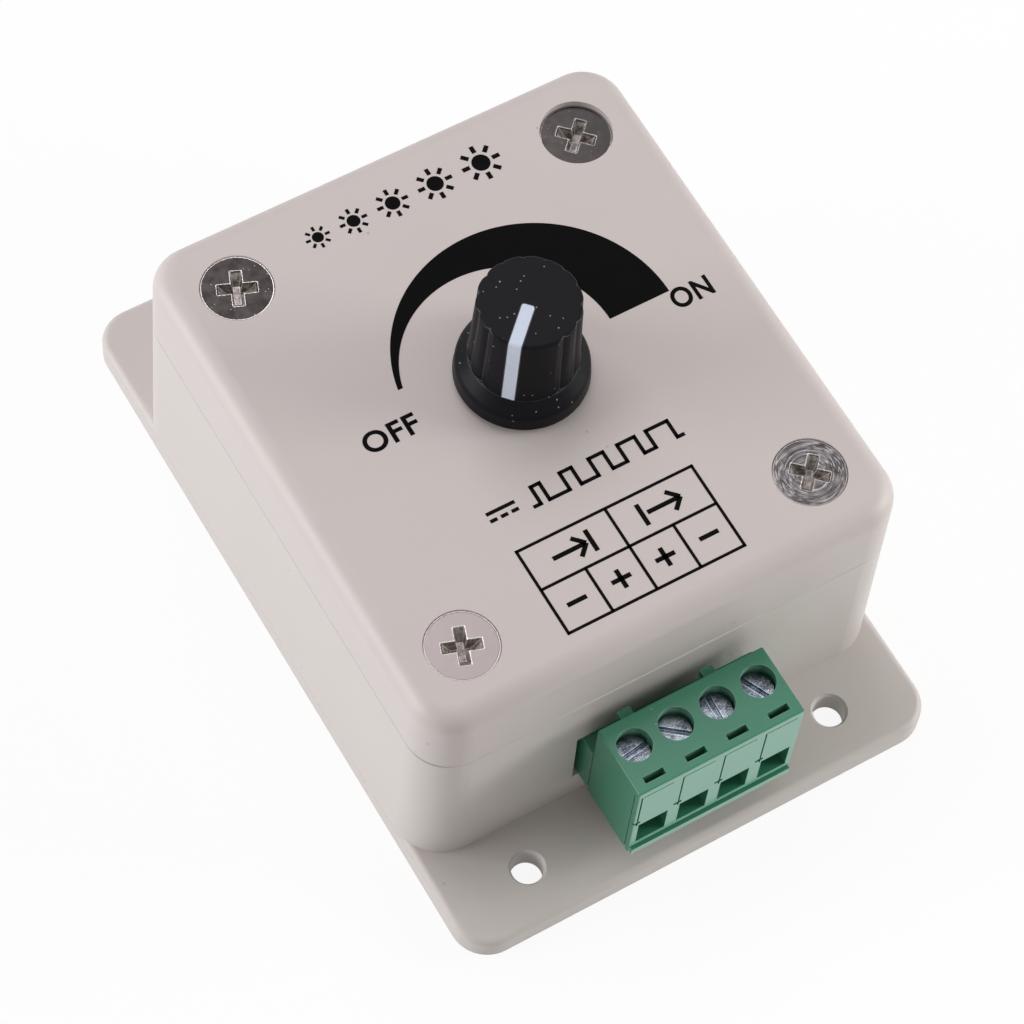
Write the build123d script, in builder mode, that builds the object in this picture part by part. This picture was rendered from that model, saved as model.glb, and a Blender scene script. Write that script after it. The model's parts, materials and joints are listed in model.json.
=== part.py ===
from build123d import *
import os
from math import cos, radians, sin, tan

os.makedirs("parts", exist_ok=True)

# A small wall-mounted dimmer box for low-voltage lamps. All sizes are in millimetres.
# X runs along the terminal side, the terminals face -Y and Z is up.
# The origin is the middle of the base's underside.

# Housing
seam_width = 58.0
seam_length = 64.5
seam_height = 24.3
lid_height = 9.6
wall = 2.2
floor_thickness = 3.0
lid_thickness = 2.2
draft = 1.3
body_corner_r = 5.0
lid_edge_r = 2.4
seam_chamfer = 0.2
lip_thickness = 0.95
lip_height = 1.4
lip_clearance = 0.12

# Mounting ears
base_length = 88.4
ear_corner_r = 4.2
ear_edge_r = 0.8
ear_hole_r = 1.8
ear_hole_rim = 0.28
ear_hole_side_inset = 9.7
ear_hole_end_inset = 6.15

# Lid screws and the columns that they hold together
lid_screw_side_inset = 8.0
lid_screw_end_inset = 8.25
lid_screw_r = 2.0
lid_screw_length = 18.0
lid_screw_tip = 2.0
lid_screw_head_r = 4.0
lid_screw_rim = 0.3
lid_screw_edge = 0.12
lid_screw_sink = 0.12
deep_screw_sink = 0.7
column_r = 4.2
rib_thickness = 1.6
screw_fit = 0.03
screw_passage = 0.2
head_fit = 0.05
pilot_spare = 0.6
recess_wing = 4.3
recess_wing_width = 1.2
recess_wing_foot = 2.2
recess_foot_width = 0.7
recess_depth = 1.5
lid_screw_turns = {(-1, 1): 67.5, (1, 1): 45.0, (-1, -1): 70.5, (1, -1): 47.0}

# Circuit board
board_thickness = 1.6
board_gap = 0.6
standoff_height = 2.8
standoff_r = 3.0
standoff_side_inset = 4.3
standoff_end_inset = 15.05
board_screw_r = 1.2
board_screw_length = 5.6
board_screw_head_r = 2.3
board_screw_head_height = 1.7
board_slot_width = 0.6
lead_fit = 0.1
lead_tail = 1.2

# Pluggable terminal: pitch and the fixed header
pitch = 5.08
poles = 4
header_height = 8.5
header_depth = 12.0
header_wall = 0.9
header_floor = 1.2
header_back = 3.0
header_proud = 2.15
cutout_side_gap = 0.7
cutout_gap = 0.25
pin_size = 1.0
pin_reach = 6.5
pin_leg_gap = 0.4
pin_fit = 0.02

# Plug
plug_height = 15.0
plug_depth = 8.5
plug_drop = 0.4
plug_seat_gap = 0.15
plug_edge_r = 0.2
nose_length = 8.5
nose_fit = 0.1
entry_width = 3.6
entry_height = 4.4
entry_rise = 2.2
window_width = 3.95
window_shift = -0.2
window_depth = 0.4
window_line = 0.2
window_top_band = 1.05
notch_size = 0.5
notch_rise = 0.75
lip_out = 0.4
lip_rise = 1.2
groove_width = 0.25
test_slot_width = 2.5
test_slot_depth = 0.8
test_slot_reach = 3.5
test_slot_inset = 0.9
nub_width = 1.5
nub_out = 1.3
nub_height = 1.2
nub_drop = 1.4
nub_shift = 1.5

# Rising clamps of the plug
clamp_screw_r = 1.5
clamp_head_r = 2.0
clamp_head_height = 1.0
clamp_head_recess = 2.0
clamp_slot_width = 0.65
clamp_slot_depth = 0.7
clamp_screw_setback = 5.25
clamp_mouth_r = 1.93
clamp_mouth_height = 1.0
clamp_slot_turns = [8.0, -38.0, -92.0, -64.0]
cage_width = 3.9
cage_depth = 4.0
cage_wall = 0.4
cage_floor = 0.7
cage_plate = 1.1
cage_fit = 0.1
thread_fit = 0.05
contact_width = 2.2
contact_thickness = 0.8
contact_tube = 2.0
contact_fit = 0.05
contact_pin_fit = 0.1

# Potentiometer
knob_x = 0.4
knob_y = 0.7
bushing_r = 3.5
bushing_length = 6.0
bushing_plate_r = 8.1
bushing_plate = 1.0
bushing_hole_fit = 0.15
shaft_r = 3.0
shaft_fit = 0.03
shaft_flat = 1.5
shaft_flat_length = 6.5
pot_tab_radius = 6.9
pot_tab_length = 2.6
pot_tab_thickness = 1.0
pot_tab_height = 1.2
can_r = 8.2
can_wall = 0.4
can_height = 5.3
wafer_thickness = 1.2
wafer_tongue = 14.0
wafer_reach = 13.0
rotor_r = 6.4
rotor_thickness = 1.9
wiper_thickness = 0.3
wiper_gap = 0.25
lug_pitch = 5.0
lug_width = 2.2
lug_thickness = 0.4
lug_start = 9.5
lug_reach = 17.0
washer_r = 5.6
washer_thickness = 0.5
nut_flats = 10.0
nut_height = 2.0

# Knob
knob_gap = 0.5
knob_height = 14.05
skirt_r = 7.35
skirt_top_r = 7.2
skirt_rim = 2.2
skirt_round_r = 1.5
skirt_foot_chamfer = 0.2
shoulder_height = 3.85
knob_foot_r = 5.97
knob_top_r = 5.57
knob_edge_r = 0.35
flute_count = 12
lobe_r = 2.0
lobe_proud = 0.02
land_start = -34.0
land_end = 56.0
knob_wall = 0.9
knob_roof = 1.9
knob_clear = 0.3
pointer_turn = 223.5
pointer_width = 1.35
pointer_start = 0.45
pointer_thickness = 0.8
pointer_end_r = 0.3
pointer_foot = 3.95
pointer_proud = 0.03
pointer_fit = 0.02

# Electronics on the board; the insets of their middles from its side and front edges
mosfet_side_inset = 12.7
mosfet_front_inset = 18.45
mosfet_width = 10.0
mosfet_body_height = 9.2
mosfet_body_depth = 3.2
mosfet_bevel = 0.6
mosfet_stand = 3.6
mosfet_tab_height = 15.7
mosfet_tab_thickness = 1.3
mosfet_tab_setback = 1.2
mosfet_tab_hole_r = 1.85
mosfet_tab_hole_drop = 2.8
mosfet_lead_pitch = 2.54
mosfet_leg = (0.8, 0.5)
capacitor_side_inset = 12.7
capacitor_front_inset = 18.95
capacitor_r = 4.0
capacitor_height = 12.0
capacitor_stand = 0.3
capacitor_edge = 0.6
capacitor_groove_z = 1.9
capacitor_groove_r = 0.4
capacitor_lead_pitch = 3.5
capacitor_lead_r = 0.3
chip_place = (-2.0, 4.0)
chip_length = 9.3
chip_width = 6.35
chip_height = 3.3
chip_stand = 0.6
chip_notch_r = 0.8
chip_row = 7.62
chip_leg_pitch = 2.54
chip_legs_a_side = 4
chip_leg = (0.5, 0.3)
axial_pitch = 10.16
axial_stand = 0.1
resistor_row_insets = [6.2, 9.7, 13.2]
resistor_row_y = 4.5
side_resistor_inset = 10.2
side_resistor_y = 12.0
resistor_length = 6.3
resistor_r = 1.15
resistor_lead_r = 0.3
diode_side_inset = 12.2
diode_y = 2.0
diode_length = 5.2
diode_r = 1.35
diode_lead_r = 0.4
wire_r = 0.65

# Heights that follow
top_z = seam_height + lid_height
lid_under_z = top_z - lid_thickness
board_bottom_z = floor_thickness + standoff_height
board_top_z = board_bottom_z + board_thickness
lead_end_z = board_bottom_z - lead_tail

# Sizes of the body that follow from the draft
def drafted(size, drop):
    return size + 2 * drop * tan(radians(draft))


foot_width = drafted(seam_width, seam_height)
foot_length = drafted(seam_length, seam_height)
foot_corner_r = body_corner_r + (foot_width - seam_width) / 2
inner_width = seam_width - 2 * wall
inner_length = seam_length - 2 * wall
inner_corner_r = body_corner_r - wall
corners = [(-1, -1), (1, -1), (-1, 1), (1, 1)]
ear_hole_x = seam_width / 2 - ear_hole_side_inset
ear_hole_y = base_length / 2 - ear_hole_end_inset
lid_screw_x = seam_width / 2 - lid_screw_side_inset
lid_screw_y = seam_length / 2 - lid_screw_end_inset
standoff_x = inner_width / 2 - standoff_side_inset
standoff_y = inner_length / 2 - standoff_end_inset

# Board and the places of what stands on it
board_width = inner_width - 2 * board_gap
board_length = inner_length - 2 * board_gap
board_front_y = -board_length / 2
mosfet_place = (board_width / 2 - mosfet_side_inset, board_front_y + mosfet_front_inset)
capacitor_place = (-board_width / 2 + capacitor_side_inset, board_front_y + capacitor_front_inset)
diode_place = (board_width / 2 - diode_side_inset, diode_y)
resistor_places = [(-board_width / 2 + inset, resistor_row_y) for inset in resistor_row_insets]
resistor_places.append((board_width / 2 - side_resistor_inset, side_resistor_y))

# Places of the terminal that follow
header_z = board_top_z
header_width = poles * pitch
header_front_y = -seam_length / 2 - header_proud
header_back_y = header_front_y + header_depth
cavity_width = header_width - 2 * header_wall
cavity_bottom_z = header_z + header_floor
cavity_top_z = header_z + header_height - header_wall
cavity_depth = header_depth - header_back
plug_back_y = header_front_y - plug_seat_gap
plug_front_y = plug_back_y - plug_depth
plug_bottom_z = board_top_z - plug_drop
plug_top_z = plug_bottom_z + plug_height
nose_bottom_z = cavity_bottom_z + nose_fit
nose_height = cavity_top_z - cavity_bottom_z - 2 * nose_fit
pin_z = nose_bottom_z + nose_height / 2
entry_bottom_z = plug_bottom_z + entry_rise
entry_top_z = entry_bottom_z + entry_height
clamp_y = plug_front_y + clamp_screw_setback
pole_xs = [(i - (poles - 1) / 2) * pitch for i in range(poles)]


# Base shell: floor with two ears, drafted walls, lip, screw columns and standoffs
with BuildPart() as base_shell:
    with BuildSketch():
        RectangleRounded(foot_width, base_length, ear_corner_r)
    extrude(amount=floor_thickness)
    fillet(base_shell.faces().sort_by(Axis.Z)[-1].edges(), ear_edge_r)
    with BuildSketch():
        RectangleRounded(foot_width, foot_length, foot_corner_r)
    extrude(amount=seam_height, taper=draft)
    chamfer(base_shell.faces().sort_by(Axis.Z)[-1].edges(), seam_chamfer)
    with BuildSketch(Plane.XY.offset(floor_thickness)):
        RectangleRounded(inner_width, inner_length, inner_corner_r)
    extrude(amount=seam_height - floor_thickness, mode=Mode.SUBTRACT)
    with BuildSketch(Plane.XY.offset(seam_height)):
        RectangleRounded(
            inner_width + 2 * lip_thickness, inner_length + 2 * lip_thickness,
            inner_corner_r + lip_thickness,
        )
        RectangleRounded(inner_width, inner_length, inner_corner_r, mode=Mode.SUBTRACT)
    extrude(amount=lip_height)
    # Lid screw columns, each tied to both walls by a rib
    with BuildSketch(Plane.XY.offset(floor_thickness)):
        with GridLocations(2 * lid_screw_x, 2 * lid_screw_y, 2, 2):
            Circle(column_r)
        rib_x = inner_width / 2 - lid_screw_x
        rib_y = inner_length / 2 - lid_screw_y
        with GridLocations(2 * lid_screw_x + rib_x, 2 * lid_screw_y, 2, 2):
            Rectangle(rib_x + wall / 2, rib_thickness)
        with GridLocations(2 * lid_screw_x, 2 * lid_screw_y + rib_y, 2, 2):
            Rectangle(rib_thickness, rib_y + wall / 2)
    extrude(amount=seam_height - floor_thickness)
    with BuildSketch(Plane.XY.offset(seam_height)):
        with GridLocations(2 * lid_screw_x, 2 * lid_screw_y, 2, 2):
            Circle(lid_screw_r + screw_fit)
    extrude(amount=-(lid_screw_length - lid_height + deep_screw_sink + pilot_spare), mode=Mode.SUBTRACT)
    # Standoffs for the circuit board
    with BuildSketch(Plane.XY.offset(floor_thickness)):
        with GridLocations(2 * standoff_x, 2 * standoff_y, 2, 2):
            Circle(standoff_r)
    extrude(amount=standoff_height)
    with BuildSketch(Plane.XY.offset(board_bottom_z)):
        with GridLocations(2 * standoff_x, 2 * standoff_y, 2, 2):
            Circle(board_screw_r + screw_fit)
    extrude(amount=-(board_screw_length - board_thickness + pilot_spare), mode=Mode.SUBTRACT)
    # Cut-out in the front wall, which the header looks out of
    with BuildSketch(Plane.XZ.offset(inner_length / 2 - wall)):
        with Locations((0, header_z + header_height / 2)):
            Rectangle(header_width + 2 * cutout_side_gap, header_height + 2 * cutout_gap)
    extrude(amount=3 * wall, mode=Mode.SUBTRACT)
    # Holes in the ears
    with Locations(*[(x * ear_hole_x, y * ear_hole_y, floor_thickness) for x, y in corners]):
        CounterSinkHole(ear_hole_r, ear_hole_r + ear_hole_rim)
base_shell.part.label = "base_shell"
export_step(base_shell.part, "parts/base_shell.step")


# Lid: drafted shell with a rounded top edge, rebate, screw columns and the knob's hole
with BuildPart() as lid:
    with BuildSketch(Plane.XY.offset(seam_height)):
        RectangleRounded(seam_width, seam_length, body_corner_r)
    extrude(amount=lid_height, taper=draft)
    fillet(lid.faces().sort_by(Axis.Z)[-1].edges(), lid_edge_r)
    chamfer(lid.faces().sort_by(Axis.Z)[0].edges(), seam_chamfer)
    with BuildSketch(Plane.XY.offset(seam_height)):
        RectangleRounded(inner_width, inner_length, inner_corner_r)
    extrude(amount=lid_height - lid_thickness, mode=Mode.SUBTRACT)
    rebate = lip_thickness + lip_clearance
    with BuildSketch(Plane.XY.offset(seam_height)):
        RectangleRounded(inner_width + 2 * rebate, inner_length + 2 * rebate, inner_corner_r + rebate)
    extrude(amount=lip_height + lip_clearance, mode=Mode.SUBTRACT)
    with BuildSketch(Plane.XY.offset(seam_height)):
        with GridLocations(2 * lid_screw_x, 2 * lid_screw_y, 2, 2):
            Circle(column_r)
    extrude(amount=lid_height - lid_thickness)
    with BuildSketch(Plane.XY.offset(lid_under_z)):
        with GridLocations(2 * lid_screw_x + rib_x, 2 * lid_screw_y, 2, 2):
            Rectangle(rib_x + wall / 2, rib_thickness)
        with GridLocations(2 * lid_screw_x, 2 * lid_screw_y + rib_y, 2, 2):
            Rectangle(rib_thickness, rib_y + wall / 2)
    extrude(amount=-(lid_height - lid_thickness - lip_height - 2 * lip_clearance))
    for x, y in corners:
        sink = deep_screw_sink if (x, y) == (1, 1) else lid_screw_sink
        seat_z = top_z - sink - lid_screw_rim
        with Locations((x * lid_screw_x, y * lid_screw_y, top_z)):
            Hole(lid_screw_head_r + head_fit, depth=sink + lid_screw_rim)
        with Locations((x * lid_screw_x, y * lid_screw_y, seat_z)):
            CounterSinkHole(
                lid_screw_r + screw_passage, lid_screw_head_r + head_fit, counter_sink_angle=90
            )
    with Locations((knob_x, knob_y, top_z)):
        Hole(bushing_r + bushing_hole_fit)
    # Blind pocket that stops the potentiometer from turning
    with BuildSketch(Plane.XY.offset(lid_under_z)):
        with Locations((knob_x - pot_tab_radius, knob_y)):
            Rectangle(pot_tab_thickness + 2 * bushing_hole_fit, pot_tab_length + 2 * bushing_hole_fit)
    extrude(amount=pot_tab_height + bushing_hole_fit, mode=Mode.SUBTRACT)
lid.part.label = "lid"
export_step(lid.part, "parts/lid.step")


# A countersunk self-tapping screw with a cross recess, its head's top at the origin
def make_lid_screw(turn):
    head_cone = lid_screw_head_r - lid_screw_r
    with BuildPart() as screw:
        with BuildSketch(Plane.XZ):
            Polygon(
                (0, 0),
                (lid_screw_head_r - lid_screw_edge, 0),
                (lid_screw_head_r, -lid_screw_edge),
                (lid_screw_head_r, -lid_screw_rim),
                (lid_screw_r, -lid_screw_rim - head_cone),
                (lid_screw_r, -lid_screw_length + lid_screw_tip),
                (lid_screw_r / 4, -lid_screw_length),
                (0, -lid_screw_length),
                align=None,
            )
        revolve(axis=Axis.Z)
        for quarter in (0, 90):
            with BuildSketch() as recess_mouth:
                Rectangle(
                    recess_wing + lid_screw_edge, recess_wing_width + lid_screw_edge,
                    rotation=turn + quarter,
                )
            with BuildSketch(Plane.XY.offset(-lid_screw_edge / 2)) as recess_top:
                Rectangle(recess_wing, recess_wing_width, rotation=turn + quarter)
            with BuildSketch(Plane.XY.offset(-recess_depth)) as recess_foot:
                Rectangle(recess_wing_foot, recess_foot_width, rotation=turn + quarter)
            loft(
                [recess_mouth.sketch, recess_top.sketch, recess_foot.sketch], ruled=True,
                mode=Mode.SUBTRACT,
            )
    return screw.part


lid_screw_places = []
for (x, y), turn in lid_screw_turns.items():
    sink = deep_screw_sink if (x, y) == (1, 1) else lid_screw_sink
    place = Pos(x * lid_screw_x, y * lid_screw_y, top_z - sink)
    lid_screw_places.append(place * make_lid_screw(turn))
lid_screws = Compound(children=lid_screw_places, label="lid_screws")
export_step(lid_screws, "parts/lid_screws.step")


# Where flat legs pass through the board: (x, y, leg size)
header_leg_y = header_back_y + pin_leg_gap + pin_size / 2
chip_leg_xs = [
    chip_place[0] + (i - (chip_legs_a_side - 1) / 2) * chip_leg_pitch for i in range(chip_legs_a_side)
]
flat_legs = [(x, header_leg_y, (pin_size, pin_size)) for x in pole_xs]
for i in (-1, 0, 1):
    flat_legs.append((mosfet_place[0] + i * mosfet_lead_pitch, mosfet_place[1], mosfet_leg))

# Where round leads pass through the board: (x, y, lead radius)
round_leads = []
for side in (-1, 1):
    round_leads.append((
        capacitor_place[0] + side * capacitor_lead_pitch / 2, capacitor_place[1], capacitor_lead_r
    ))
    round_leads.append((diode_place[0], diode_place[1] + side * axial_pitch / 2, diode_lead_r))
    for x, y in resistor_places:
        round_leads.append((x, y + side * axial_pitch / 2, resistor_lead_r))
    for x in chip_leg_xs:
        flat_legs.append((x, chip_place[1] + side * chip_row / 2, chip_leg))


# Circuit board: cross shaped, so that it clears the four screw columns
notch_x = board_width / 2 - (lid_screw_x - column_r - board_gap)
notch_y = board_length / 2 - (lid_screw_y - column_r - board_gap)
with BuildPart() as circuit_board:
    with BuildSketch(Plane.XY.offset(board_bottom_z)):
        Rectangle(board_width, board_length)
        with GridLocations(board_width, board_length, 2, 2):
            Rectangle(2 * notch_x, 2 * notch_y, mode=Mode.SUBTRACT)
        with GridLocations(2 * standoff_x, 2 * standoff_y, 2, 2):
            Circle(board_screw_r + screw_passage, mode=Mode.SUBTRACT)
        for x, y, lead_r in round_leads:
            with Locations((x, y)):
                Circle(lead_r + lead_fit, mode=Mode.SUBTRACT)
        for x, y, (width, depth) in flat_legs:
            with Locations((x, y)):
                Rectangle(width + 2 * lead_fit, depth + 2 * lead_fit, mode=Mode.SUBTRACT)
    extrude(amount=board_thickness)
circuit_board.part.label = "circuit_board"
export_step(circuit_board.part, "parts/circuit_board.step")


# Pan head screws that hold the board down on its standoffs
with BuildPart() as board_screw:
    with BuildSketch():
        Circle(board_screw_r)
    extrude(amount=-board_screw_length)
    with BuildSketch():
        Circle(board_screw_head_r)
    extrude(amount=board_screw_head_height)
    with BuildSketch(Plane.XY.offset(board_screw_head_height)):
        Rectangle(board_screw_head_r, board_slot_width)
        Rectangle(board_slot_width, board_screw_head_r)
    extrude(amount=-board_screw_head_height / 2, mode=Mode.SUBTRACT)
board_screws = Compound(
    children=[
        Pos(x * standoff_x, y * standoff_y, board_top_z) * board_screw.part for x, y in corners
    ],
    label="board_screws",
)
export_step(board_screws, "parts/board_screws.step")


# Fixed header on the board: a box that is open towards the plug
with BuildPart() as terminal_header:
    with BuildSketch(Plane.XY.offset(header_z)):
        with Locations((0, header_front_y + header_depth / 2)):
            Rectangle(header_width, header_depth)
    extrude(amount=header_height)
    with BuildSketch(Plane.XZ.offset(-header_front_y)):
        with Locations((0, (cavity_bottom_z + cavity_top_z) / 2)):
            Rectangle(cavity_width, cavity_top_z - cavity_bottom_z)
    extrude(amount=-cavity_depth, mode=Mode.SUBTRACT)
    with BuildSketch(Plane.XZ.offset(-header_back_y)):
        with Locations(*[(x, pin_z) for x in pole_xs]):
            Rectangle(pin_size + 2 * pin_fit, pin_size + 2 * pin_fit)
    extrude(amount=header_back, mode=Mode.SUBTRACT)
terminal_header.part.label = "terminal_header"
export_step(terminal_header.part, "parts/terminal_header.step")


# Header pins: square wire, bent down behind the header into the board
pin_tip_y = header_front_y + cavity_depth - pin_reach
leg_back_y = header_leg_y + pin_size / 2
pins = []
for x in pole_xs:
    with BuildPart() as header_pin:
        with BuildSketch(Plane.YZ.offset(x)):
            Polygon(
                (pin_tip_y, pin_z + pin_size / 2),
                (leg_back_y, pin_z + pin_size / 2),
                (leg_back_y, lead_end_z),
                (leg_back_y - pin_size, lead_end_z),
                (leg_back_y - pin_size, pin_z - pin_size / 2),
                (pin_tip_y, pin_z - pin_size / 2),
                align=None,
            )
        extrude(amount=pin_size / 2, both=True)
        bend = header_pin.edges().filter_by(Axis.X).filter_by(
            lambda e: e.center().Y > header_back_y and e.center().Z > pin_z
        )
        fillet(bend, pin_size * 0.7)
        chamfer(header_pin.faces().sort_by(Axis.Y)[0].edges(), pin_size / 5)
    pins.append(header_pin.part)
header_pins = Compound(children=pins, label="header_pins")
export_step(header_pins, "parts/header_pins.step")


# Plug body: a block with screw wells, wire entries, clamp chambers and a nose for the header
window_bottom_z = entry_top_z
window_top_z = plug_top_z - window_top_band
chamber_front_y = clamp_y - cage_depth / 2 - cage_fit
riser_front_y = clamp_y + cage_depth / 2 + cage_fit + contact_fit
riser_back_y = riser_front_y + 0.75 * contact_thickness
chamber_back_y = riser_back_y + contact_fit
chamber_bottom_z = entry_bottom_z - cage_floor - 2 * cage_fit
bar_bottom_z = entry_top_z
bar_top_z = bar_bottom_z + contact_thickness
cage_bottom_z = entry_bottom_z - cage_floor
cage_plate_z = bar_top_z + 3 * cage_fit
cage_top_z = cage_plate_z + cage_plate
clamp_head_top_z = plug_top_z - clamp_head_recess
clamp_head_bottom_z = clamp_head_top_z - clamp_head_height
chamber_top_z = clamp_head_bottom_z - cage_fit
nose_end_y = plug_back_y + nose_length
tube_end_y = nose_end_y - contact_thickness / 2
bar_front_y = chamber_front_y - contact_thickness / 2
with BuildPart() as terminal_plug:
    with BuildSketch(Plane.XY.offset(plug_bottom_z)):
        with Locations((0, plug_front_y + plug_depth / 2)):
            Rectangle(header_width, plug_depth)
    extrude(amount=plug_height)
    fillet(terminal_plug.edges(), plug_edge_r)
    # Lip under the wire entries
    with BuildSketch(Plane.XZ.offset(-plug_front_y)):
        with Locations((0, plug_bottom_z + lip_rise / 2 + plug_edge_r / 2)):
            Rectangle(header_width - 2 * plug_edge_r, lip_rise - plug_edge_r)
    extrude(amount=lip_out)
    # Nose that enters the header
    with BuildSketch(Plane.XZ.offset(-plug_back_y + plug_edge_r)):
        with Locations((0, pin_z)):
            Rectangle(cavity_width - 2 * nose_fit, nose_height)
    extrude(amount=-(nose_length + plug_edge_r))
    chamfer(terminal_plug.faces().sort_by(Axis.Y)[-1].edges(), plug_edge_r)
    # Two latch nubs above the header
    with BuildSketch(Plane.XZ.offset(-plug_back_y + plug_edge_r)):
        with Locations(*[
            (x + nub_shift, plug_top_z - nub_drop - nub_height / 2) for x in pole_xs[::2]
        ]):
            Rectangle(nub_width, nub_height)
    extrude(amount=-(nub_out + plug_edge_r))
    # Panel over each wire entry, set off by a groove along its top and one side, with a notch at its foot
    with BuildSketch(Plane.XZ.offset(-plug_front_y)):
        with Locations(*[(x + window_shift, window_top_z - window_line / 2) for x in pole_xs]):
            Rectangle(window_width, window_line)
        with Locations(*[
            (x + window_shift - (window_width - window_line) / 2, (window_top_z + window_bottom_z) / 2)
            for x in pole_xs
        ]):
            Rectangle(window_line, window_top_z - window_bottom_z)
        with Locations(*[
            (x + window_shift - window_width / 2, window_bottom_z + notch_rise) for x in pole_xs
        ]):
            Rectangle(2 * notch_size, notch_size)
    extrude(amount=-window_depth, mode=Mode.SUBTRACT)
    with BuildSketch(Plane.XZ.offset(-plug_front_y)):
        with Locations(*[(x, (entry_top_z + entry_bottom_z) / 2) for x in pole_xs]):
            Rectangle(entry_width, entry_height)
    extrude(amount=-(clamp_y - plug_front_y), mode=Mode.SUBTRACT)
    # Groove above the lip, and one up each end face
    with BuildSketch(Plane.XZ.offset(-plug_front_y)):
        with Locations((0, plug_bottom_z + lip_rise + groove_width / 2)):
            Rectangle(header_width, groove_width)
    extrude(amount=-groove_width, mode=Mode.SUBTRACT)
    with BuildSketch(Plane.XY.offset(plug_bottom_z)):
        with Locations(*[
            (side * header_width / 2, plug_front_y + 3 * groove_width) for side in (-1, 1)
        ]):
            Rectangle(2 * groove_width, groove_width)
    extrude(amount=window_top_z - plug_bottom_z, mode=Mode.SUBTRACT)
    # Clamp chambers, screw wells and test slots
    with BuildSketch(Plane.XY.offset(chamber_bottom_z)):
        with Locations(*[(x, (chamber_front_y + chamber_back_y) / 2) for x in pole_xs]):
            Rectangle(cage_width + 2 * cage_fit, chamber_back_y - chamber_front_y)
    extrude(amount=chamber_top_z - chamber_bottom_z, mode=Mode.SUBTRACT)
    with BuildSketch(Plane.XY.offset(chamber_top_z)):
        with Locations(*[(x, clamp_y) for x in pole_xs]):
            Circle(clamp_head_r + cage_fit)
    extrude(amount=plug_top_z - clamp_mouth_height - chamber_top_z, mode=Mode.SUBTRACT)
    with BuildSketch(Plane.XY.offset(plug_top_z)):
        with Locations(*[(x, clamp_y) for x in pole_xs]):
            Circle(clamp_mouth_r)
    extrude(amount=-2 * clamp_mouth_height, mode=Mode.SUBTRACT)
    with BuildSketch(Plane.XY.offset(plug_top_z)):
        with Locations(*[
            (x, plug_front_y + test_slot_inset + test_slot_depth / 2) for x in pole_xs
        ]):
            Rectangle(test_slot_width, test_slot_depth)
    extrude(amount=-test_slot_reach, mode=Mode.SUBTRACT)
    # Tunnels for the contacts, narrower at the nose's end
    with BuildSketch(Plane.XZ.offset(-tube_end_y - contact_fit)):
        with Locations(*[(x, pin_z) for x in pole_xs]):
            Rectangle(contact_width + 2 * contact_fit, contact_tube + 2 * contact_fit)
    extrude(amount=tube_end_y - chamber_back_y + 2 * contact_fit, mode=Mode.SUBTRACT)
    with BuildSketch(Plane.XZ.offset(-nose_end_y)):
        with Locations(*[(x, pin_z) for x in pole_xs]):
            Rectangle(pin_size + 4 * contact_pin_fit, pin_size + 4 * contact_pin_fit)
    extrude(amount=contact_thickness, mode=Mode.SUBTRACT)
    # Pockets in the front wall that carry the ends of the contact bars
    with BuildSketch(Plane.XZ.offset(-chamber_front_y)):
        with Locations(*[(x, (bar_bottom_z + bar_top_z) / 2) for x in pole_xs]):
            Rectangle(contact_width + 2 * contact_fit, contact_thickness + 2 * contact_fit)
    extrude(amount=chamber_front_y - bar_front_y + contact_fit, mode=Mode.SUBTRACT)
terminal_plug.part.label = "terminal_plug"
export_step(terminal_plug.part, "parts/terminal_plug.step")


# Plug contacts: a socket for the header pin, a riser and the bar that the wire is pressed against
contacts = []
for x in pole_xs:
    with BuildPart() as contact:
        with BuildSketch(Plane.YZ.offset(x)):
            Polygon(
                (tube_end_y, pin_z - contact_tube / 2),
                (tube_end_y, pin_z + contact_tube / 2),
                (riser_back_y, pin_z + contact_tube / 2),
                (riser_back_y, bar_top_z),
                (bar_front_y, bar_top_z),
                (bar_front_y, bar_bottom_z),
                (riser_front_y, bar_bottom_z),
                (riser_front_y, pin_z - contact_tube / 2),
                align=None,
            )
        extrude(amount=contact_width / 2, both=True)
        with BuildSketch(Plane.XZ.offset(-tube_end_y)):
            with Locations((x, pin_z)):
                Rectangle(pin_size + 2 * contact_pin_fit, pin_size + 2 * contact_pin_fit)
        extrude(amount=tube_end_y - pin_tip_y + contact_thickness, mode=Mode.SUBTRACT)
    contacts.append(contact.part)
plug_contacts = Compound(children=contacts, label="plug_contacts")
export_step(plug_contacts, "parts/plug_contacts.step")


# Rising cages: they lift the wire against the contact bar
for i, x in enumerate(pole_xs):
    with BuildPart() as clamp_cage:
        with BuildSketch(Plane.XY.offset(cage_bottom_z)):
            with Locations((x, clamp_y)):
                Rectangle(cage_width, cage_depth)
        extrude(amount=cage_top_z - cage_bottom_z)
        with BuildSketch(Plane.XZ.offset(-clamp_y)):
            with Locations((x, (entry_bottom_z + cage_plate_z) / 2)):
                Rectangle(cage_width - 2 * cage_wall, cage_plate_z - entry_bottom_z)
        extrude(amount=cage_depth, both=True, mode=Mode.SUBTRACT)
        with BuildSketch(Plane.XY.offset(cage_top_z)):
            with Locations((x, clamp_y)):
                Circle(clamp_screw_r + thread_fit)
        extrude(amount=-cage_plate, mode=Mode.SUBTRACT)
    clamp_cage.part.label = f"clamp_cage_{i + 1}"
    export_step(clamp_cage.part, f"parts/clamp_cage_{i + 1}.step")


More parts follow.
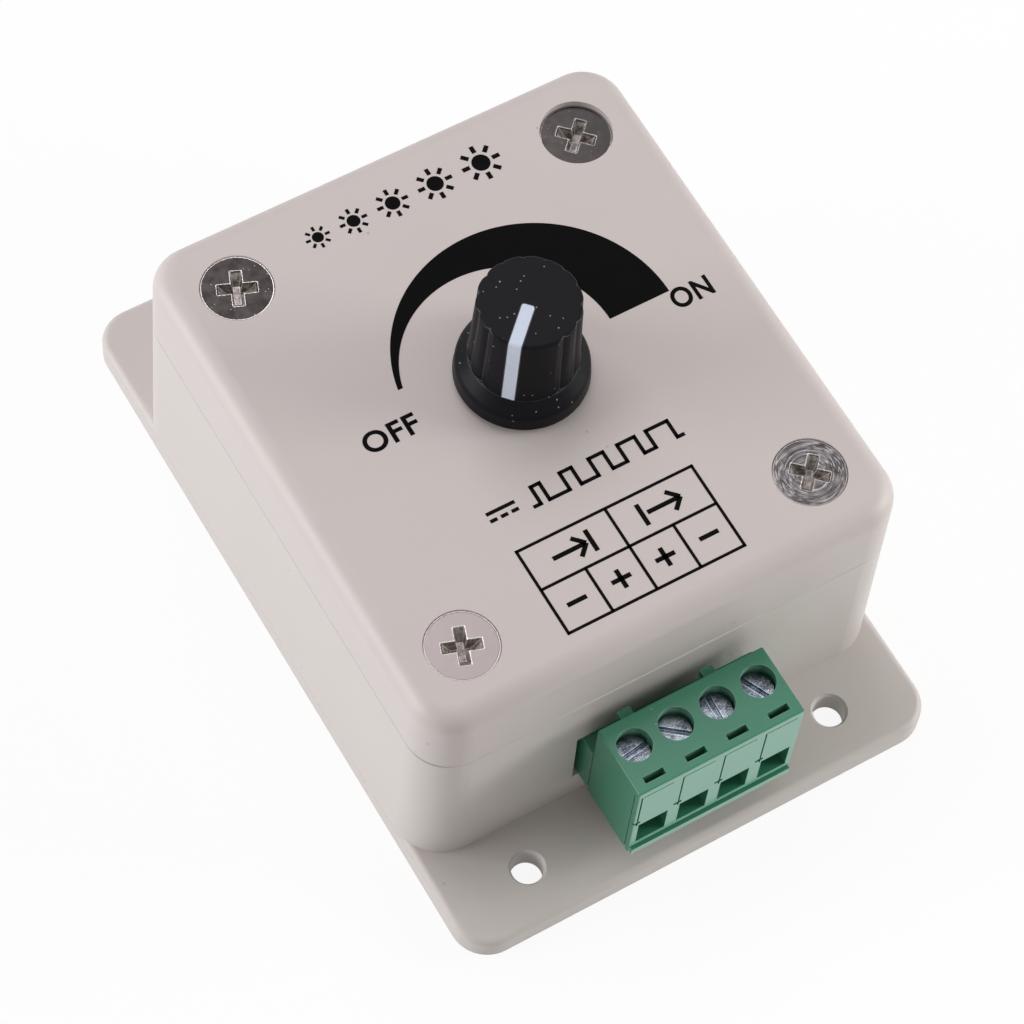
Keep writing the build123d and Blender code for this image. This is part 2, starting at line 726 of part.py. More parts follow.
# Clamp screws: slotted head over a threaded shank that stops just above the contact bar
for i, x in enumerate(pole_xs):
    with BuildPart() as terminal_screw:
        with BuildSketch(Plane.XY.offset(bar_top_z + cage_fit)):
            with Locations((x, clamp_y)):
                Circle(clamp_screw_r)
        extrude(amount=clamp_head_bottom_z - bar_top_z - cage_fit)
        with BuildSketch(Plane.XY.offset(clamp_head_bottom_z)):
            with Locations((x, clamp_y)):
                Circle(clamp_head_r)
        extrude(amount=clamp_head_height)
        chamfer(terminal_screw.faces().sort_by(Axis.Z)[-1].edges(), clamp_head_height / 8)
        with BuildSketch(Plane.XY.offset(clamp_head_top_z)):
            with Locations((x, clamp_y)):
                Rectangle(3 * clamp_head_r, clamp_slot_width, rotation=clamp_slot_turns[i])
        extrude(amount=-clamp_slot_depth, mode=Mode.SUBTRACT)
    terminal_screw.part.label = f"terminal_screw_{i + 1}"
    export_step(terminal_screw.part, f"parts/terminal_screw_{i + 1}.step")


# Potentiometer: bushing with its plate, under the lid
plate_z = lid_under_z - bushing_plate
with BuildPart() as pot_bushing:
    with BuildSketch(Plane.XY.offset(plate_z)):
        with Locations((knob_x, knob_y)):
            Circle(bushing_plate_r)
    extrude(amount=bushing_plate)
    with BuildSketch(Plane.XY.offset(lid_under_z)):
        with Locations((knob_x, knob_y)):
            Circle(bushing_r)
        with Locations((knob_x - pot_tab_radius, knob_y)):
            Rectangle(pot_tab_thickness, pot_tab_length)
    extrude(amount=pot_tab_height)
    with BuildSketch(Plane.XY.offset(lid_under_z)):
        with Locations((knob_x, knob_y)):
            Circle(bushing_r)
    extrude(amount=bushing_length)
    with Locations((knob_x, knob_y, lid_under_z + bushing_length)):
        Hole(shaft_r + shaft_fit)
pot_bushing.part.label = "pot_bushing"
export_step(pot_bushing.part, "parts/pot_bushing.step")


# Wafer with the resistive track; its tongue carries the three lugs
wafer_z = plate_z - wafer_thickness
with BuildPart() as pot_wafer:
    with BuildSketch(Plane.XY.offset(wafer_z)):
        with Locations((knob_x, knob_y)):
            Circle(can_r - 2 * can_wall)
        with Locations((knob_x, knob_y + wafer_reach / 2)):
            Rectangle(wafer_tongue, wafer_reach)
        with Locations((knob_x, knob_y)):
            Circle(bushing_r, mode=Mode.SUBTRACT)
    extrude(amount=wafer_thickness)
pot_wafer.part.label = "pot_wafer"
export_step(pot_wafer.part, "parts/pot_wafer.step")


# Can that closes the potentiometer from below, with a window for the tongue
with BuildPart() as pot_can:
    with BuildSketch(Plane.XY.offset(plate_z - can_height)):
        with Locations((knob_x, knob_y)):
            Circle(can_r)
    extrude(amount=can_height)
    chamfer(pot_can.faces().sort_by(Axis.Z)[0].edges(), can_wall)
    with BuildSketch(Plane.XY.offset(plate_z)):
        with Locations((knob_x, knob_y)):
            Circle(can_r - can_wall)
    extrude(amount=-(can_height - can_wall), mode=Mode.SUBTRACT)
    with BuildSketch(Plane.XY.offset(wafer_z - lug_thickness - pin_fit)):
        with Locations((knob_x, knob_y + can_r)):
            Rectangle(wafer_tongue + 2 * can_wall, 2 * can_r)
    extrude(amount=wafer_thickness + lug_thickness + pin_fit, mode=Mode.SUBTRACT)
pot_can.part.label = "pot_can"
export_step(pot_can.part, "parts/pot_can.step")


# Three solder lugs riveted under the tongue
wire_xs = [knob_x + i * lug_pitch for i in (-1, 0, 1)]
wire_y = knob_y + lug_reach - lug_width / 2
with BuildPart() as pot_lugs:
    with BuildSketch(Plane.XY.offset(wafer_z)):
        for x in wire_xs:
            with Locations((x, knob_y + (lug_start + lug_reach) / 2)):
                SlotOverall(lug_reach - lug_start, lug_width, rotation=90)
    extrude(amount=-lug_thickness)
pot_lugs.part.label = "pot_lugs"
export_step(pot_lugs.part, "parts/pot_lugs.step")


# Stiff wires from the lugs straight down to the board
with BuildPart() as pot_wires:
    with BuildSketch(Plane.XY.offset(board_top_z)):
        with Locations(*[(x, wire_y) for x in wire_xs]):
            Circle(wire_r)
    extrude(amount=wafer_z - lug_thickness - board_top_z)
pot_wires.part.label = "pot_wires"
export_step(pot_wires.part, "parts/pot_wires.step")


# Washer and nut that hold the bushing in the lid, inside the knob's skirt
with BuildPart() as pot_washer:
    with BuildSketch(Plane.XY.offset(top_z)):
        with Locations((knob_x, knob_y)):
            Circle(washer_r)
            Circle(bushing_r + bushing_hole_fit, mode=Mode.SUBTRACT)
    extrude(amount=washer_thickness)
pot_washer.part.label = "pot_washer"
export_step(pot_washer.part, "parts/pot_washer.step")

with BuildPart() as pot_nut:
    with BuildSketch(Plane.XY.offset(top_z + washer_thickness)):
        with Locations((knob_x, knob_y)):
            RegularPolygon(nut_flats / 2, 6, major_radius=False)
            Circle(bushing_r + thread_fit, mode=Mode.SUBTRACT)
    extrude(amount=nut_height)
pot_nut.part.label = "pot_nut"
export_step(pot_nut.part, "parts/pot_nut.step")


# Shaft with a flat for the knob
bushing_top_z = lid_under_z + bushing_length
knob_bottom_z = top_z + knob_gap
knob_top_z = knob_bottom_z + knob_height
shaft_top_z = knob_top_z - knob_roof - knob_clear
flat_bottom_z = shaft_top_z - shaft_flat_length
wiper_z = wafer_z - lug_thickness - wiper_gap - wiper_thickness
rotor_z = wiper_z - rotor_thickness
with BuildPart() as pot_shaft:
    with BuildSketch(Plane.XY.offset(rotor_z)):
        with Locations((knob_x, knob_y)):
            Circle(shaft_r)
    extrude(amount=shaft_top_z - rotor_z)
    with BuildSketch(Plane.XY.offset(shaft_top_z)):
        with Locations((knob_x, knob_y + 2 * shaft_r - shaft_flat)):
            Rectangle(4 * shaft_r, 2 * shaft_r)
    extrude(amount=-shaft_flat_length, mode=Mode.SUBTRACT)
    chamfer(pot_shaft.faces().sort_by(Axis.Z)[-1].edges(), shaft_r / 10)
pot_shaft.part.label = "pot_shaft"
export_step(pot_shaft.part, "parts/pot_shaft.step")


# Rotor disc at the shaft's foot, and the wiper that it carries
with BuildPart() as pot_rotor:
    with BuildSketch(Plane.XY.offset(rotor_z)):
        with Locations((knob_x, knob_y)):
            Circle(rotor_r)
            Circle(shaft_r + pin_fit, mode=Mode.SUBTRACT)
    extrude(amount=rotor_thickness)
pot_rotor.part.label = "pot_rotor"
export_step(pot_rotor.part, "parts/pot_rotor.step")

with BuildPart() as pot_wiper:
    with BuildSketch(Plane.XY.offset(wiper_z)):
        with Locations((knob_x, knob_y)):
            Circle(rotor_r - wiper_thickness)
            Circle(shaft_r + 2 * wiper_thickness, mode=Mode.SUBTRACT)
        with Locations((knob_x, knob_y + rotor_r)):
            Rectangle(2 * rotor_r, rotor_r, mode=Mode.SUBTRACT)
    extrude(amount=wiper_thickness)
pot_wiper.part.label = "pot_wiper"
export_step(pot_wiper.part, "parts/pot_wiper.step")


# A point on the knob by its angle from the pointer, in degrees, and its radius
def around(turn, radius):
    angle = radians(pointer_turn + turn)
    return (knob_x + radius * cos(angle), knob_y + radius * sin(angle))


# Radial plane through the knob's axis, with the pointer along its local x
pointer_plane = Plane(
    origin=(knob_x, knob_y, knob_bottom_z),
    x_dir=(cos(radians(pointer_turn)), sin(radians(pointer_turn)), 0),
    z_dir=(sin(radians(pointer_turn)), -cos(radians(pointer_turn)), 0),
)
knob_axis = Axis((knob_x, knob_y, 0), (0, 0, 1))
grip_slope = (knob_foot_r - knob_top_r) / (knob_height - shoulder_height)
flute_pitch = (360 - land_end + land_start) / (flute_count - 1)
half_pitch = radians(flute_pitch / 2)
lobe_seat_r = knob_foot_r + lobe_proud - lobe_r
lobe_in = knob_foot_r - lobe_seat_r * cos(half_pitch)
lobe_side = lobe_seat_r * sin(half_pitch)
nut_room_z = washer_thickness + nut_height + knob_clear
bushing_room_z = bushing_top_z + knob_clear - knob_bottom_z
pointer_foot_r = knob_foot_r + (shoulder_height - pointer_foot) * grip_slope


# The pointer's strip, bent over the knob's edge; grow widens it all round for its slot
def pointer_strip(grow, proud):
    with BuildPart() as strip:
        with BuildSketch(pointer_plane):
            Polygon(
                (pointer_start - grow, knob_height + proud),
                (knob_top_r + proud, knob_height + proud),
                (pointer_foot_r + proud, pointer_foot - grow),
                (pointer_foot_r - pointer_thickness - grow, pointer_foot - grow),
                (knob_top_r - pointer_thickness - grow, knob_height - pointer_thickness - grow),
                (pointer_start - grow, knob_height - pointer_thickness - grow),
                align=None,
            )
        extrude(amount=pointer_width / 2 + grow, both=True)
        bend = strip.edges().sort_by_distance((*around(0, knob_top_r), knob_top_z))[0]
        fillet(bend, knob_edge_r + proud)
        inner_end = strip.edges().filter_by(Axis.Z).sort_by_distance((knob_x, knob_y, knob_top_z))[:2]
        fillet(inner_end, pointer_end_r + grow)
    return strip.part


# Plane across the foot of a flute, its x outwards, leaning in with the slope of the grip
def flute_plane(turn):
    angle = radians(pointer_turn + turn)
    return Plane(
        origin=(*around(turn, knob_foot_r), knob_bottom_z + shoulder_height),
        x_dir=(cos(angle), sin(angle), 0),
        z_dir=(-grip_slope * cos(angle), -grip_slope * sin(angle), 1),
    )


with BuildPart() as knob:
    # Skirt, sloped shoulder and drafted grip in one turned profile
    with BuildSketch(pointer_plane) as profile:
        Polygon(
            (0, 0),
            (skirt_r - skirt_foot_chamfer, 0),
            (skirt_r, skirt_foot_chamfer),
            (skirt_top_r, skirt_rim),
            (knob_foot_r, shoulder_height),
            (knob_top_r, knob_height),
            (0, knob_height),
            align=None,
        )
        fillet(profile.vertices().sort_by_distance((skirt_top_r, skirt_rim))[0], skirt_round_r)
        fillet(profile.vertices().sort_by_distance((knob_top_r, knob_height))[0], knob_edge_r)
    revolve(axis=knob_axis)
    # Flutes between rounded lobes all round, except on the land that holds the pointer
    with BuildSketch(*[flute_plane(land_end + i * flute_pitch) for i in range(flute_count)]):
        Rectangle(lobe_r, 2 * knob_foot_r * sin(half_pitch))
        with Locations((-lobe_in, lobe_side), (-lobe_in, -lobe_side)):
            Circle(lobe_r, mode=Mode.SUBTRACT)
    extrude(amount=knob_height, mode=Mode.SUBTRACT)
    # Hollows for the nut and the bushing, and the bore with its flat
    with BuildSketch(Plane.XY.offset(knob_bottom_z)):
        with Locations((knob_x, knob_y)):
            Circle(skirt_r - knob_wall)
    extrude(amount=nut_room_z - knob_gap, mode=Mode.SUBTRACT)
    with BuildSketch(Plane.XY.offset(knob_bottom_z)):
        with Locations((knob_x, knob_y)):
            Circle(bushing_r + 2 * knob_clear)
    extrude(amount=bushing_room_z, mode=Mode.SUBTRACT)
    with BuildSketch(Plane.XY.offset(knob_bottom_z)):
        with Locations((knob_x, knob_y)):
            Circle(shaft_r + shaft_fit)
    extrude(amount=shaft_top_z + knob_clear - knob_bottom_z, mode=Mode.SUBTRACT)
    with BuildSketch(Plane.XY.offset(flat_bottom_z + knob_clear)):
        with Locations((knob_x, knob_y)):
            Circle(shaft_r + shaft_fit)
        with Locations((knob_x, knob_y - shaft_flat + shaft_fit)):
            Rectangle(4 * shaft_r, 2 * shaft_r, mode=Mode.SUBTRACT)
    extrude(amount=shaft_flat_length)
    add(pointer_strip(pointer_fit, knob_clear), mode=Mode.SUBTRACT)
knob.part.label = "knob"
export_step(knob.part, "parts/knob.step")

with BuildPart() as knob_pointer:
    add(pointer_strip(0, pointer_proud))
knob_pointer.part.label = "knob_pointer"
export_step(knob_pointer.part, "parts/knob_pointer.step")


# Power transistor, standing: moulded body, then its tab with the three legs
mosfet_z = board_top_z + mosfet_stand
mosfet_tab_y = mosfet_place[1] + mosfet_tab_setback
mosfet_front_y = mosfet_tab_y - mosfet_body_depth
with BuildPart() as mosfet_body:
    with BuildSketch(Plane.YZ.offset(mosfet_place[0])):
        Polygon(
            (mosfet_tab_y, mosfet_z),
            (mosfet_tab_y, mosfet_z + mosfet_body_height),
            (mosfet_front_y + mosfet_bevel, mosfet_z + mosfet_body_height),
            (mosfet_front_y, mosfet_z + mosfet_body_height - 2 * mosfet_bevel),
            (mosfet_front_y, mosfet_z),
            align=None,
        )
    extrude(amount=mosfet_width / 2, both=True)
mosfet_body.part.label = "mosfet_body"
export_step(mosfet_body.part, "parts/mosfet_body.step")

with BuildPart() as mosfet_plate:
    with BuildSketch(Plane.XZ.offset(-mosfet_tab_y)):
        with Locations((mosfet_place[0], mosfet_z + mosfet_tab_height / 2)):
            Rectangle(mosfet_width, mosfet_tab_height)
        with Locations((mosfet_place[0], mosfet_z + mosfet_tab_height - mosfet_tab_hole_drop)):
            Circle(mosfet_tab_hole_r, mode=Mode.SUBTRACT)
    extrude(amount=-mosfet_tab_thickness)
    chamfer(
        mosfet_plate.edges().filter_by(Axis.Y).group_by(Axis.Z)[-1], mosfet_bevel
    )
mosfet_metal = [mosfet_plate.part]
for i in (-1, 0, 1):
    with BuildPart() as mosfet_lead:
        with BuildSketch(Plane.XY.offset(mosfet_z)):
            with Locations((mosfet_place[0] + i * mosfet_lead_pitch, mosfet_place[1])):
                Rectangle(*mosfet_leg)
        extrude(amount=lead_end_z - mosfet_z)
    mosfet_metal.append(mosfet_lead.part)
mosfet_tab = Compound(children=mosfet_metal, label="mosfet_tab")
export_step(mosfet_tab, "parts/mosfet_tab.step")


# Electrolytic capacitor: a sleeved can with a crimp groove, and its two leads
capacitor_z = board_top_z + capacitor_stand
with BuildPart() as capacitor:
    with BuildSketch(Plane.XY.offset(capacitor_z)):
        with Locations(capacitor_place):
            Circle(capacitor_r)
    extrude(amount=capacitor_height)
    chamfer(capacitor.edges().filter_by(GeomType.CIRCLE), capacitor_edge)
    with BuildSketch(Plane.XZ.offset(-capacitor_place[1])):
        with Locations((capacitor_place[0] + capacitor_r, capacitor_z + capacitor_groove_z)):
            Rectangle(capacitor_groove_r, capacitor_groove_r, rotation=45)
    revolve(axis=Axis((*capacitor_place, 0), (0, 0, 1)), mode=Mode.SUBTRACT)
capacitor.part.label = "capacitor"
export_step(capacitor.part, "parts/capacitor.step")

with BuildPart() as capacitor_leads:
    with BuildSketch(Plane.XY.offset(capacitor_z)):
        with Locations(*[
            (capacitor_place[0] + side * capacitor_lead_pitch / 2, capacitor_place[1]) for side in (-1, 1)
        ]):
            Circle(capacitor_lead_r)
    extrude(amount=lead_end_z - capacitor_z)
capacitor_leads.part.label = "capacitor_leads"
export_step(capacitor_leads.part, "parts/capacitor_leads.step")


# Timer chip: eight-pin body with a notch at one end, and its legs
chip_z = board_top_z + chip_stand
chip_middle_z = chip_z + chip_height / 2
with BuildPart() as timer_chip:
    with BuildSketch(Plane.XY.offset(chip_z)):
        with Locations(chip_place):
            Rectangle(chip_length, chip_width)
    extrude(amount=chip_height)
    with Locations((chip_place[0] - chip_length / 2, chip_place[1], chip_z + chip_height)):
        Hole(chip_notch_r, depth=chip_notch_r)
timer_chip.part.label = "timer_chip"
export_step(timer_chip.part, "parts/timer_chip.step")

legs = []
for x in chip_leg_xs:
    for side in (-1, 1):
        with BuildPart() as chip_lead:
            inner_y = chip_place[1] + side * chip_width / 2
            outer_y = chip_place[1] + side * (chip_row / 2 + chip_leg[1] / 2)
            with BuildSketch(Plane.YZ.offset(x)):
                Polygon(
                    (inner_y, chip_middle_z + chip_leg[1] / 2),
                    (outer_y, chip_middle_z + chip_leg[1] / 2),
                    (outer_y, lead_end_z),
                    (outer_y - side * chip_leg[1], lead_end_z),
                    (outer_y - side * chip_leg[1], chip_middle_z - chip_leg[1] / 2),
                    (inner_y, chip_middle_z - chip_leg[1] / 2),
                    align=None,
                )
            extrude(amount=chip_leg[0] / 2, both=True)
        legs.append(chip_lead.part)
chip_leads = Compound(children=legs, label="chip_leads")
export_step(chip_leads, "parts/chip_leads.step")


# The two bent leads of a part that lies along Y on the board
def axial_leads(place, body_length, body_r, lead_r):
    lying_z = board_top_z + axial_stand + body_r
    leads = []
    for side in (-1, 1):
        foot_y = place[1] + side * axial_pitch / 2
        start = (place[0], place[1] + side * body_length / 2, lying_z)
        with BuildPart() as lead:
            with BuildLine() as route:
                Polyline(start, (place[0], foot_y, lying_z), (place[0], foot_y, lead_end_z))
            with BuildSketch(Plane(start, z_dir=(0, side, 0))):
                RegularPolygon(lead_r, 6)
            sweep(path=route.line, transition=Transition.RIGHT)
        leads.append(lead.part)
    return leads


# Resistors: plain round bodies between their bent leads
resistor_bodies = []
resistor_wires = []
for place in resistor_places:
    with BuildPart() as resistor:
        with BuildSketch(Plane.XZ.offset(-place[1])):
            with Locations((place[0], board_top_z + axial_stand + resistor_r)):
                Circle(resistor_r)
        extrude(amount=resistor_length / 2, both=True)
    resistor_bodies.append(resistor.part)
    resistor_wires += axial_leads(place, resistor_length, resistor_r, resistor_lead_r)
resistors = Compound(children=resistor_bodies, label="resistors")
export_step(resistors, "parts/resistors.step")
resistor_leads = Compound(children=resistor_wires, label="resistor_leads")
export_step(resistor_leads, "parts/resistor_leads.step")


# Flywheel diode across the lamp
with BuildPart() as diode:
    with BuildSketch(Plane.XZ.offset(-diode_place[1])):
        with Locations((diode_place[0], board_top_z + axial_stand + diode_r)):
            Circle(diode_r)
    extrude(amount=diode_length / 2, both=True)
    chamfer(diode.edges().filter_by(GeomType.CIRCLE), diode_r / 6)
diode.part.label = "diode"
export_step(diode.part, "parts/diode.step")
diode_leads = Compound(
    children=axial_leads(diode_place, diode_length, diode_r, diode_lead_r), label="diode_leads"
)
export_step(diode_leads, "parts/diode_leads.step")
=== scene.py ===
import json
from math import asin, cos, pi, radians, sin, tau

import bmesh
import bpy
from mathutils import Matrix, Vector


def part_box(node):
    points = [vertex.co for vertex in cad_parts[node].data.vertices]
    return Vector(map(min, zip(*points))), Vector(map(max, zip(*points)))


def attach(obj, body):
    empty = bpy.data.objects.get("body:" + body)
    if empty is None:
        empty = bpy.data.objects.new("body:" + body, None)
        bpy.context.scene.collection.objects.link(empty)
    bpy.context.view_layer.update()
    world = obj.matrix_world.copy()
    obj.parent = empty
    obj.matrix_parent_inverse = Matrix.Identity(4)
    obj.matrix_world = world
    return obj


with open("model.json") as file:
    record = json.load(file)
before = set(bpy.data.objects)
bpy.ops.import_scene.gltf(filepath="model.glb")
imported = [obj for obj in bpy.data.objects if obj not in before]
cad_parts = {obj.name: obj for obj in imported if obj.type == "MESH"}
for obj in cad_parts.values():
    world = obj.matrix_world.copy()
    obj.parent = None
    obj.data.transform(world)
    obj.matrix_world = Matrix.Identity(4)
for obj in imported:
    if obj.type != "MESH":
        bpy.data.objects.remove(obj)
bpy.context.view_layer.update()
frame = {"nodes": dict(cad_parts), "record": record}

# The dimmer box stands on its base: X along the terminal, terminal towards -Y, knob on top.
# Sizes are written in millimetres and turned into Blender's metres by this factor
MM = 0.001

# Camera: where it stands, the point that it looks at, how far it leans, its lens and sensor
camera_place = Vector((-119.10, -161.92, 381.18)) * MM
camera_aim = Vector((-4.43, -7.25, 20.0)) * MM
camera_lean = radians(7.15)
camera_lens = 133.8
camera_sensor = 36.0

# Seam between base and lid: its height, half the width of its line of painted shade, how soft
# that line's sides are, and the Y in front of which the seam has no painted shade
seam_height = 24.3
seam_shade_reach = 0.14
seam_shade_softness = 0.04
seam_unshaded_y = -31.3

# Height that the prints lie on
lid_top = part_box("lid")[1].z
ink_thickness = 0.02 * MM

# Lid screws: their places, the radius where the rim's bevel starts, how much deeper one lies, and
# the least depth and the radius of the cross recess
lid_screw_x, lid_screw_y = 21.0, 24.0
lid_screw_rim = 3.82
deep_screw_drop = 0.58
recess_depth, recess_radius = 0.3, 2.6

# Capacitor's pale stripe and the pitch of the resistors' colour bands
stripe_width = 1.0
band_pitch = 1.3

# Light from all round: its strength and colour; what is seen of it is white
world_light = 0.36
world_colour = (0.985, 1.0, 0.92, 1.0)
white = (1.0, 1.0, 1.0, 1.0)

# Lamps: where each stands, its width and height, its power and its colour
lamps = {
    "key_lamp": ((0, 300, 560), (420, 300), 1.22, (0.97, 0.94, 1.0)),
    "left_lamp": ((-470, 190, 170), (320, 300), 1.82, (0.955, 1.0, 0.995)),
    "right_lamp": ((560, -130, 230), (300, 300), 0.47, (1.0, 1.0, 1.0)),
    "near_lamp": ((260, -150, 130), (120, 120), 0.49, (0.95, 1.0, 0.95)),
}

# Floor: its width, the share of its look that takes shadows, and the distance from the middle
# where that share ends, with how soft the end is
floor_width = 6000.0
shadow_share = 0.1
shadow_end, shadow_end_softness = 260.0, 140.0


def screen_colour(red, green, blue):
    """A colour as it is seen on a screen, 0 to 255, as Blender's linear colour."""
    parts = []
    for part in (red, green, blue):
        share = part / 255
        parts.append(share / 12.92 if share <= 0.04045 else ((share + 0.055) / 1.055) ** 2.4)
    return (*parts, 1.0)


class Wire:
    """The output of a shader node, which takes part in sums."""

    def __init__(self, wiring, socket):
        self.wiring = wiring
        self.socket = socket

    def math(self, operation, *others):
        """This wire and the others put through one operation of a math node."""
        return self.wiring.node("ShaderNodeMath", {"operation": operation}, (self, *others))

    def __add__(self, other):
        return self.math("ADD", other)

    def __sub__(self, other):
        return self.math("SUBTRACT", other)

    def __rsub__(self, other):
        return self.wiring.node("ShaderNodeMath", {"operation": "SUBTRACT"}, (other, self))

    def __mul__(self, other):
        return self.math("MULTIPLY", other)

    __radd__ = __add__

    def above(self, edge, softness):
        """0 below the edge, 1 above it, with a soft step between."""
        return self.wiring.node(
            "ShaderNodeMapRange",
            {"interpolation_type": "SMOOTHSTEP"},
            {"Value": self, "From Min": edge - softness, "From Max": edge + softness},
        )

    def below(self, edge, softness):
        """1 below the edge, 0 above it, with a soft step between."""
        return 1 - self.above(edge, softness)


class Wiring:
    """A node tree, with one method that makes any of its nodes."""

    def __init__(self, tree):
        self.tree = tree

    def node(self, kind, settings=None, values=(), output=0):
        """A new node with its settings and inputs filled in; gives one of its outputs."""
        made = self.tree.nodes.new(kind)
        for key, value in (settings or {}).items():
            setattr(made, key, value)
        pairs = values.items() if isinstance(values, dict) else enumerate(values)
        for key, value in pairs:
            self.feed(made.inputs[key], value)
        return Wire(self, made.outputs[output])

    def feed(self, socket, value):
        """Links a wire to a socket, or sets the socket to a constant."""
        if isinstance(value, Wire):
            self.tree.links.new(value.socket, socket)
        else:
            socket.default_value = value

    def mix(self, share, first, second):
        """The first colour at share 0, the second at share 1."""
        return self.node(
            "ShaderNodeMix",
            {"data_type": "RGBA"},
            {0: share, 6: first, 7: second},
            output=2,
        )

    def seen(self):
        """1 for what the camera, mirrors and glass see, 0 for what lights the object."""
        camera, mirror, glass = (
            self.node("ShaderNodeLightPath", output=f"Is {ray} Ray")
            for ray in ("Camera", "Glossy", "Transmission")
        )
        return camera.math("MAXIMUM", mirror).math("MAXIMUM", glass)


class Finish(Wiring):
    """A surface finish: one material with a Principled shader, on the piece's own coordinates."""

    def __init__(self, name):
        self.material = bpy.data.materials.new(name)
        self.material.use_nodes = True
        super().__init__(self.material.node_tree)
        self.shader = self.tree.nodes["Principled BSDF"]
        self.place = self.node("ShaderNodeTexCoord", output="Object")

    def axis(self, name):
        """Place along one of the piece's own axes, in metres."""
        return self.node("ShaderNodeSeparateXYZ", None, (self.place,), output=name)

    def facing(self, name):
        """How far the surface faces along an axis, from -1 to 1."""
        normal = self.node("ShaderNodeNewGeometry", output="True Normal")
        return self.node("ShaderNodeSeparateXYZ", None, (normal,), output=name)

    def edges(self, reach):
        """1 along the piece's sharp edges, within the given reach in millimetres, 0 elsewhere."""
        rounded = self.node("ShaderNodeBevel", {"samples": 6}, {"Radius": reach * MM})
        plain = self.node("ShaderNodeNewGeometry", output="Normal")
        likeness = self.node(
            "ShaderNodeVectorMath", {"operation": "DOT_PRODUCT"}, (rounded, plain), output="Value"
        )
        return likeness.below(0.93, 0.05)

    def stretched(self, stretch, turn=(0.0, 0.0, 0.0)):
        """The piece's coordinates turned and stretched, for brushed or drawn patterns."""
        return self.node(
            "ShaderNodeMapping", None, {"Vector": self.place, "Rotation": turn, "Scale": stretch}
        )

    def noise(self, size, detail=2.0, roughness=0.5, place=None):
        """Cloudy noise whose patches are about the given size in millimetres."""
        return self.node(
            "ShaderNodeTexNoise",
            None,
            {
                "Vector": place or self.place,
                "Scale": 1 / (size * MM),
                "Detail": detail,
                "Roughness": roughness,
            },
        )

    def scratches(self, length, turn, thinness=14.0):
        """Scratches of a length in millimetres and a turn in degrees, so many times thinner."""
        place = self.stretched((1.0, thinness, 1.0), (0.0, 0.0, radians(turn)))
        return self.noise(length, detail=3.0, roughness=0.7, place=place)

    def specks(self, spacing, size, share):
        """Small round specks: 1 inside a speck; only a share of the cells holds one."""
        cells = {"Vector": self.place, "Scale": 1 / (spacing * MM), "Randomness": 1.0}
        distance = self.node("ShaderNodeTexVoronoi", None, cells, output="Distance")
        chance = self.node("ShaderNodeTexVoronoi", None, cells, output="Color")
        number = self.node("ShaderNodeSeparateColor", None, (chance,))
        inside = distance.below(size / spacing, 0.3 * size / spacing)
        return inside * number.above(1 - share, 0.001)

    def bump(self, height, depth):
        """Relief of the given depth in millimetres where the height runs from 0 to 1."""
        return self.node(
            "ShaderNodeBump",
            None,
            {"Strength": 1.0, "Distance": depth * MM, "Height": height},
            output="Normal",
        )

    def set(self, **values):
        """Sets the shader's sockets; an underscore in a name stands for a space."""
        for key, value in values.items():
            self.feed(self.shader.inputs[key.replace("_", " ")], value)
        return self.material


def housing_plastic():
    """Warm light grey plastic with a satin grain and a little dirt, greyer below the seam; the
    seam's groove has painted shade.
    """
    finish = Finish("housing_plastic")
    cloud = finish.noise(9.0, detail=3.0)
    grain = finish.noise(0.22, roughness=0.6)
    dust = finish.specks(4.6, 0.19, 0.4)
    stain = finish.specks(11.0, 0.34, 0.35)
    over_seam = finish.axis("Z") - seam_height * MM
    # A line of painted shade along the seam's groove, left off the front wall, where the seam
    # catches light
    seam = over_seam.math("ABSOLUTE").below(seam_shade_reach * MM, seam_shade_softness * MM)
    aside = finish.axis("Y").above(seam_unshaded_y * MM, 0.5 * MM)
    lid_tone = finish.mix(cloud, screen_colour(197, 185, 185), screen_colour(203, 192, 191))
    base_tone = finish.mix(cloud, screen_colour(197, 187, 186), screen_colour(203, 194, 192))
    tone = finish.mix(over_seam.above(0, 0.02 * MM), base_tone, lid_tone)
    # The seam's line of painted shade
    tone = finish.mix(seam * aside * 0.55, tone, screen_colour(118, 106, 96))
    tone = finish.mix(grain * 0.1, tone, screen_colour(178, 166, 163))
    tone = finish.mix(dust * 0.55, tone, screen_colour(150, 140, 134))
    tone = finish.mix(stain * 0.65, tone, screen_colour(176, 140, 108))
    return finish.set(
        Base_Color=tone,
        Roughness=0.42 + cloud * 0.12,
        Normal=finish.bump(grain, 0.006),
        Specular_IOR_Level=0.45,
    )


def terminal_plastic():
    """Green moulded nylon: satin and scuffed, with a painted sheen on the wire side and a painted
    highlight along its edges.
    """
    finish = Finish("terminal_plastic")
    cloud = finish.noise(3.0, detail=3.0)
    grain = finish.noise(0.12)
    scuff = finish.specks(1.9, 0.1, 0.35)
    tone = finish.mix(cloud, screen_colour(50, 118, 92), screen_colour(57, 127, 100))
    tone = finish.mix(grain * 0.15, tone, screen_colour(48, 102, 80))
    tone = finish.mix(scuff * 0.5, tone, screen_colour(140, 190, 168))
    # Faces towards -Y are painted paler: a painted sheen standing for the bright floor they
    # reflect
    front_sheen = finish.facing("Y").below(-0.8, 0.1)
    tone = finish.mix(front_sheen * (cloud * 0.2 + 0.6), tone, screen_colour(134, 186, 169))
    # Painted highlight along the sharp edges, standing for rounded edges that catch light
    tone = finish.mix(finish.edges(0.1) * 0.5, tone, screen_colour(158, 208, 184))
    return finish.set(
        Base_Color=tone,
        Roughness=0.26 + cloud * 0.14,
        Normal=finish.bump(grain, 0.003),
        Specular_IOR_Level=0.5,
    )


